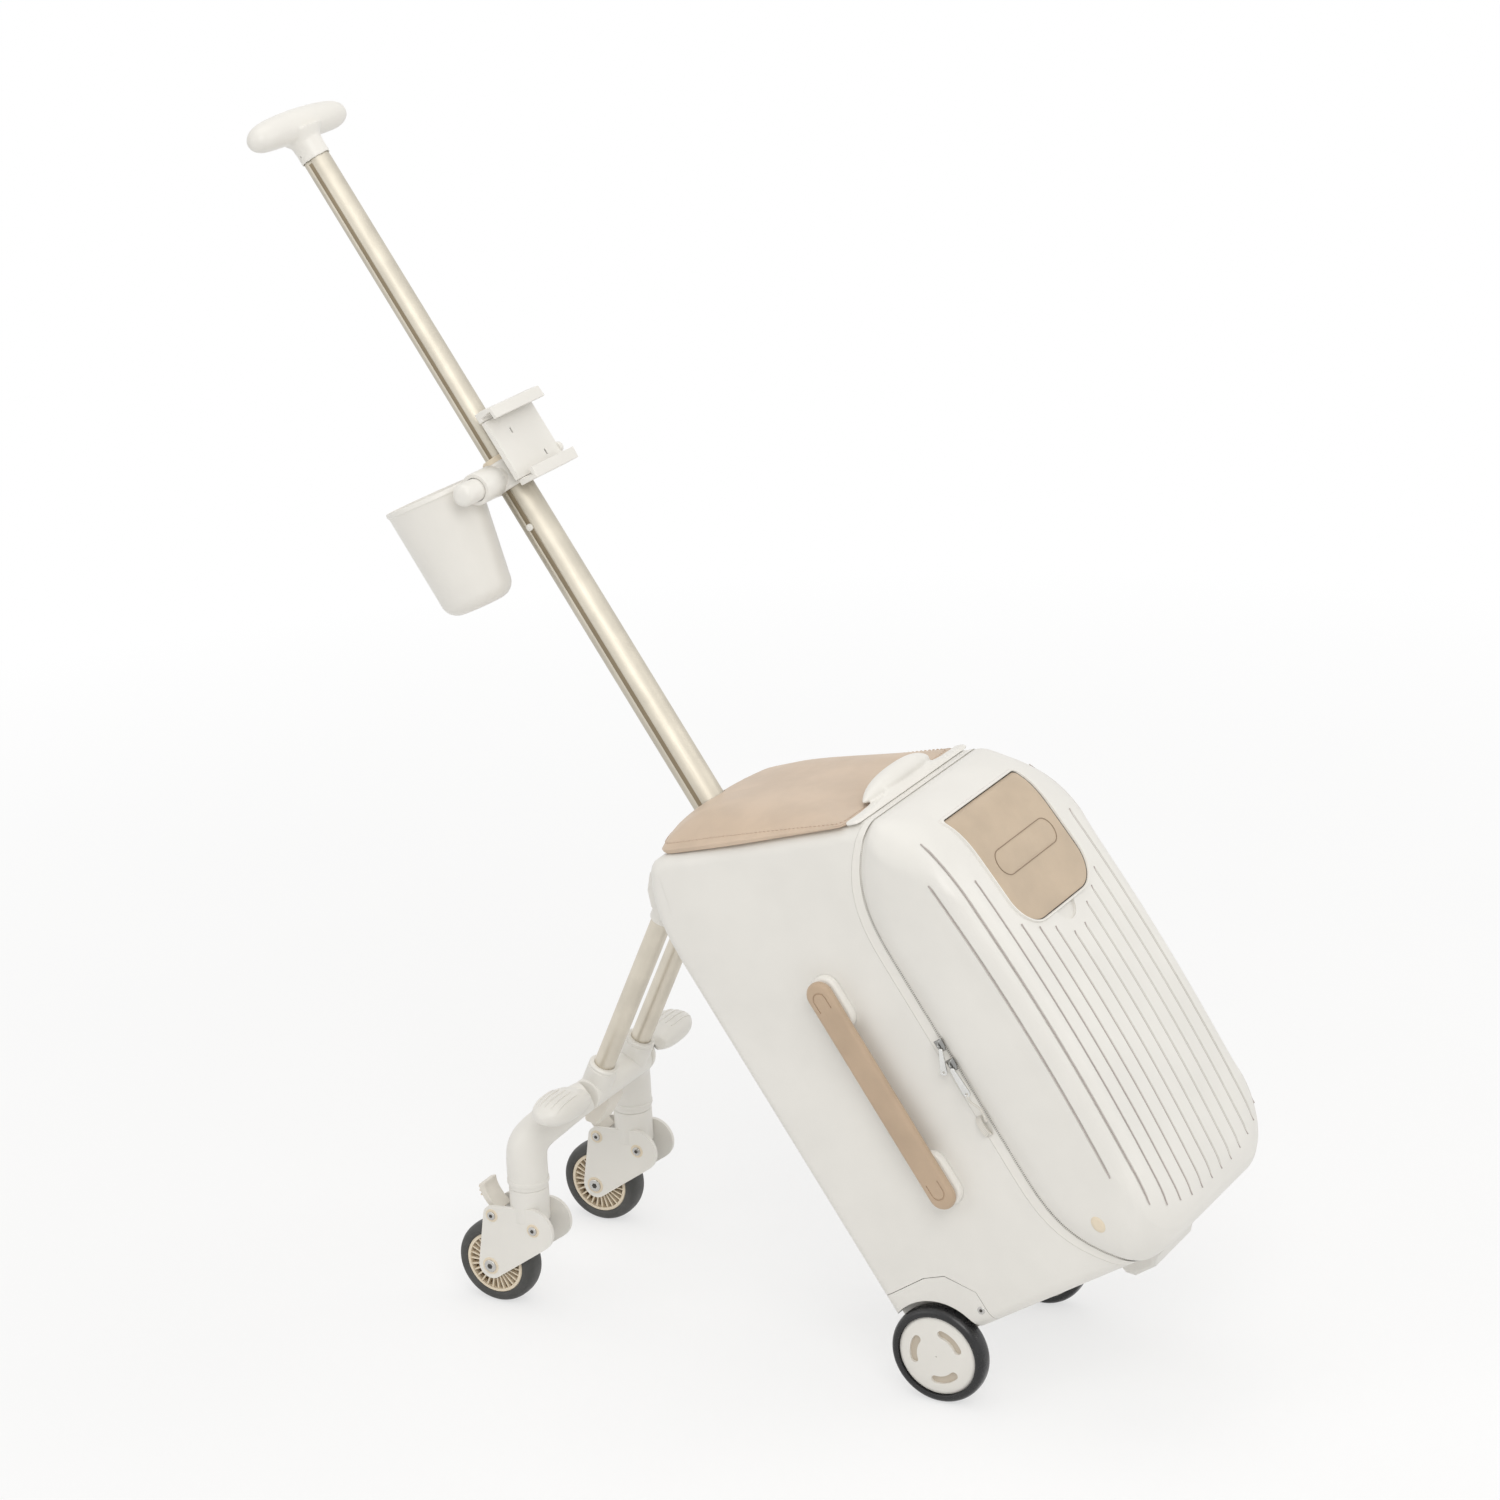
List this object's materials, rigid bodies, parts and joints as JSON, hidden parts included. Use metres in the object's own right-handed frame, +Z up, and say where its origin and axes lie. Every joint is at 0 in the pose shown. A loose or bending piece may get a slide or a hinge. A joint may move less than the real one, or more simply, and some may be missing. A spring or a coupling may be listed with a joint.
{
  "type": "ride-on suitcase",
  "caption": "Small hard suitcase with a padded seat on top, a telescopic pole with cup and phone holder, a fold-down caster leg and fixed front wheels.",
  "frame": {"origin": "on the floor, below the middle of the whole object's length and width, in its riding pose on the fixed wheels and the casters", "axes": "+Z up; -Y is the way it travels, with the ribbed lid leading; +Y towards the adult at the pole; -X is the side with the carry grip and the zip sliders"},
  "size_m": [0.252, 0.8723, 1.0645],
  "materials": {
    "case_shell": "satin moulded",
    "case_rim": "satin moulded",
    "zip_chain": "woven tape",
    "seat": "soft grained cover",
    "grab_bar": "satin moulded",
    "pole_guide": "plain",
    "pole_seal": "matt",
    "pole_cover": "plain",
    "handle_mount_upper": "satin moulded",
    "handle_mount_lower": "satin moulded",
    "front_foot": "satin moulded",
    "hinge_housing": "satin moulded",
    "leg_pin": "zinc plated",
    "wheel_housing_right": "satin moulded",
    "wheel_housing_left": "satin moulded",
    "wheel_axle_right": "zinc plated",
    "wheel_axle_left": "zinc plated",
    "lid_shell": "satin moulded",
    "pocket_tray": "satin moulded",
    "flap": "fine grain",
    "carry_grip": "soft touch",
    "zip_slider_upper": "polished",
    "zip_slider_lower": "polished",
    "zip_pull_upper": "polished",
    "zip_pull_lower": "polished",
    "pole_lower": "champagne anodised",
    "stage_stop": "satin moulded",
    "clamp": "satin moulded",
    "phone_plate": "satin moulded",
    "phone_lower_jaw": "satin moulded",
    "pole_upper": "champagne anodised",
    "t_handle": "satin moulded",
    "release_button": "satin",
    "push_rod": "zinc plated",
    "cup": "satin moulded",
    "phone_upper_jaw": "satin moulded",
    "leg_yoke": "satin moulded",
    "leg_tube_right": "champagne anodised",
    "leg_tube_left": "champagne anodised",
    "leg_crossbar": "satin moulded",
    "stow_hook": "satin moulded",
    "caster_arm_right": "satin moulded",
    "caster_arm_left": "satin moulded",
    "foot_pedal_right": "satin moulded",
    "foot_pedal_left": "satin moulded",
    "fork_right": "satin moulded",
    "caster_axle_right": "zinc plated",
    "fork_left": "satin moulded",
    "caster_axle_left": "zinc plated",
    "caster_tyre_right": "soft polyurethane",
    "caster_hub_right": "satin moulded",
    "caster_tyre_left": "soft polyurethane",
    "caster_hub_left": "satin moulded",
    "brake_lever_right": "satin moulded",
    "brake_lever_left": "satin moulded",
    "wheel_tyre_right": "soft polyurethane",
    "wheel_hub_right": "satin moulded",
    "wheel_tyre_left": "soft polyurethane",
    "wheel_hub_left": "satin moulded"
  },
  "bodies": {
    "case": {"case_shell": "case_shell", "case_rim": "case_rim", "zip_chain": "zip_chain", "seat": "seat", "grab_bar": "grab_bar", "pole_guide": "pole_guide", "pole_seal": "pole_seal", "pole_cover": "pole_cover", "handle_mount_upper": "handle_mount_upper", "handle_mount_lower": "handle_mount_lower", "front_foot": "front_foot", "hinge_housing": "hinge_housing", "leg_pin": "leg_pin", "wheel_housing_right": "wheel_housing_right", "wheel_housing_left": "wheel_housing_left", "wheel_axle_right": "wheel_axle_right", "wheel_axle_left": "wheel_axle_left"},
    "lid": {"lid_shell": "lid_shell", "pocket_tray": "pocket_tray"},
    "flap": {"flap": "flap"},
    "grip": {"carry_grip": "carry_grip"},
    "slider_upper": {"zip_slider_upper": "zip_slider_upper"},
    "slider_lower": {"zip_slider_lower": "zip_slider_lower"},
    "pull_upper": {"zip_pull_upper": "zip_pull_upper"},
    "pull_lower": {"zip_pull_lower": "zip_pull_lower"},
    "lower_pole": {"pole_lower": "pole_lower", "stage_stop": "stage_stop", "clamp": "clamp", "phone_plate": "phone_plate", "phone_lower_jaw": "phone_lower_jaw"},
    "upper_pole": {"pole_upper": "pole_upper", "t_handle": "t_handle"},
    "button": {"release_button": "release_button", "push_rod": "push_rod"},
    "cup": {"cup": "cup"},
    "phone_jaw": {"phone_upper_jaw": "phone_upper_jaw"},
    "leg": {"leg_yoke": "leg_yoke", "leg_tube_right": "leg_tube_right", "leg_tube_left": "leg_tube_left", "leg_crossbar": "leg_crossbar", "stow_hook": "stow_hook", "caster_arm_right": "caster_arm_right", "caster_arm_left": "caster_arm_left"},
    "pedal_right": {"foot_pedal_right": "foot_pedal_right"},
    "pedal_left": {"foot_pedal_left": "foot_pedal_left"},
    "fork_right": {"fork_right": "fork_right", "caster_axle_right": "caster_axle_right"},
    "fork_left": {"fork_left": "fork_left", "caster_axle_left": "caster_axle_left"},
    "caster_right": {"caster_tyre_right": "caster_tyre_right", "caster_hub_right": "caster_hub_right"},
    "caster_left": {"caster_tyre_left": "caster_tyre_left", "caster_hub_left": "caster_hub_left"},
    "brake_right": {"brake_lever_right": "brake_lever_right"},
    "brake_left": {"brake_lever_left": "brake_lever_left"},
    "wheel_right": {"wheel_tyre_right": "wheel_tyre_right", "wheel_hub_right": "wheel_hub_right"},
    "wheel_left": {"wheel_tyre_left": "wheel_tyre_left", "wheel_hub_left": "wheel_hub_left"}
  },
  "joints": [
    {"name": "lid_open", "type": "hinge", "parent": "case", "child": "lid", "pos_m": [0.104, -0.24631, 0.32147], "axis": [0, 0.5534, 0.8329], "range_deg": [0, 100]},
    {"name": "flap_open", "type": "hinge", "parent": "lid", "child": "flap", "pos_m": [0, -0.22139, 0.52343], "axis": [-1, 0, 0], "range_deg": [0, 95]},
    {"name": "grip_pull", "type": "slide", "parent": "case", "child": "grip", "axis": [-1, 0, 0], "range_m": [0, 0.006], "stiffness_N_per_m": 800, "springref_m": -0.002},
    {"name": "upper_slider_run", "type": "slide", "parent": "case", "child": "slider_upper", "axis": [0, 0.5534, 0.8329], "range_m": [0, 0.07]},
    {"name": "lower_slider_run", "type": "slide", "parent": "case", "child": "slider_lower", "axis": [0, 0.5534, 0.8329], "range_m": [-0.055, 0]},
    {"name": "upper_pull_swing", "type": "hinge", "parent": "slider_upper", "child": "pull_upper", "pos_m": [-0.1142, -0.23016, 0.33043], "axis": [0, 0.8329, -0.5534], "range_deg": [0, 120]},
    {"name": "lower_pull_swing", "type": "hinge", "parent": "slider_lower", "child": "pull_lower", "pos_m": [-0.1142, -0.24775, 0.31931], "axis": [0, 0.8329, -0.5534], "range_deg": [0, 120]},
    {"name": "lower_stage", "type": "slide", "parent": "case", "child": "lower_pole", "axis": [0, 0.5534, 0.8329], "range_m": [-0.24, 0]},
    {"name": "upper_stage", "type": "slide", "parent": "lower_pole", "child": "upper_pole", "axis": [0, 0.5534, 0.8329], "range_m": [-0.24, 0]},
    {"name": "button_press", "type": "slide", "parent": "upper_pole", "child": "button", "axis": [0, -0.5534, -0.8329], "range_m": [0, 0.003], "stiffness_N_per_m": 600, "springref_m": -0.001},
    {"name": "cup_tilt", "type": "hinge", "parent": "lower_pole", "child": "cup", "pos_m": [0, 0.22893, 0.75849], "axis": [1, 0, 0], "range_deg": [-8, 17]},
    {"name": "jaw_pull", "type": "slide", "parent": "lower_pole", "child": "phone_jaw", "axis": [0, 0.5534, 0.8329], "range_m": [0, 0.02], "stiffness_N_per_m": 150, "springref_m": -0.01},
    {"name": "leg_fold", "type": "hinge", "parent": "case", "child": "leg", "pos_m": [0, 0.06696, 0.40268], "axis": [-1, 0, 0], "range_deg": [0, 45]},
    {"name": "right_pedal_fold", "type": "hinge", "parent": "leg", "child": "pedal_right", "pos_m": [-0.0615, 0.1603, 0.2055], "axis": [0, 1, 0], "range_deg": [0, 75]},
    {"name": "left_pedal_fold", "type": "hinge", "parent": "leg", "child": "pedal_left", "pos_m": [0.0615, 0.1603, 0.2055], "axis": [0, -1, 0], "range_deg": [0, 75]},
    {"name": "right_swivel", "type": "hinge", "parent": "leg", "child": "fork_right", "pos_m": [-0.0915, 0.2008, 0.11], "axis": [0, 0, 1], "continuous": true},
    {"name": "left_swivel", "type": "hinge", "parent": "leg", "child": "fork_left", "pos_m": [0.0915, 0.2008, 0.11], "axis": [0, 0, 1], "continuous": true},
    {"name": "right_caster_roll", "type": "hinge", "parent": "fork_right", "child": "caster_right", "pos_m": [-0.0915, 0.2368, 0.0394], "axis": [1, 0, 0], "continuous": true},
    {"name": "left_caster_roll", "type": "hinge", "parent": "fork_left", "child": "caster_left", "pos_m": [0.0915, 0.2368, 0.0394], "axis": [1, 0, 0], "continuous": true},
    {"name": "right_brake_press", "type": "hinge", "parent": "fork_right", "child": "brake_right", "pos_m": [-0.0915, 0.2323, 0.0915], "axis": [-1, 0, 0], "range_deg": [0, 10]},
    {"name": "left_brake_press", "type": "hinge", "parent": "fork_left", "child": "brake_left", "pos_m": [0.0915, 0.2323, 0.0915], "axis": [-1, 0, 0], "range_deg": [0, 10]},
    {"name": "right_wheel_roll", "type": "hinge", "parent": "case", "child": "wheel_right", "pos_m": [-0.1, -0.2187, 0.045], "axis": [1, 0, 0], "continuous": true},
    {"name": "left_wheel_roll", "type": "hinge", "parent": "case", "child": "wheel_left", "pos_m": [0.1, -0.2187, 0.045], "axis": [1, 0, 0], "continuous": true}
  ]
}
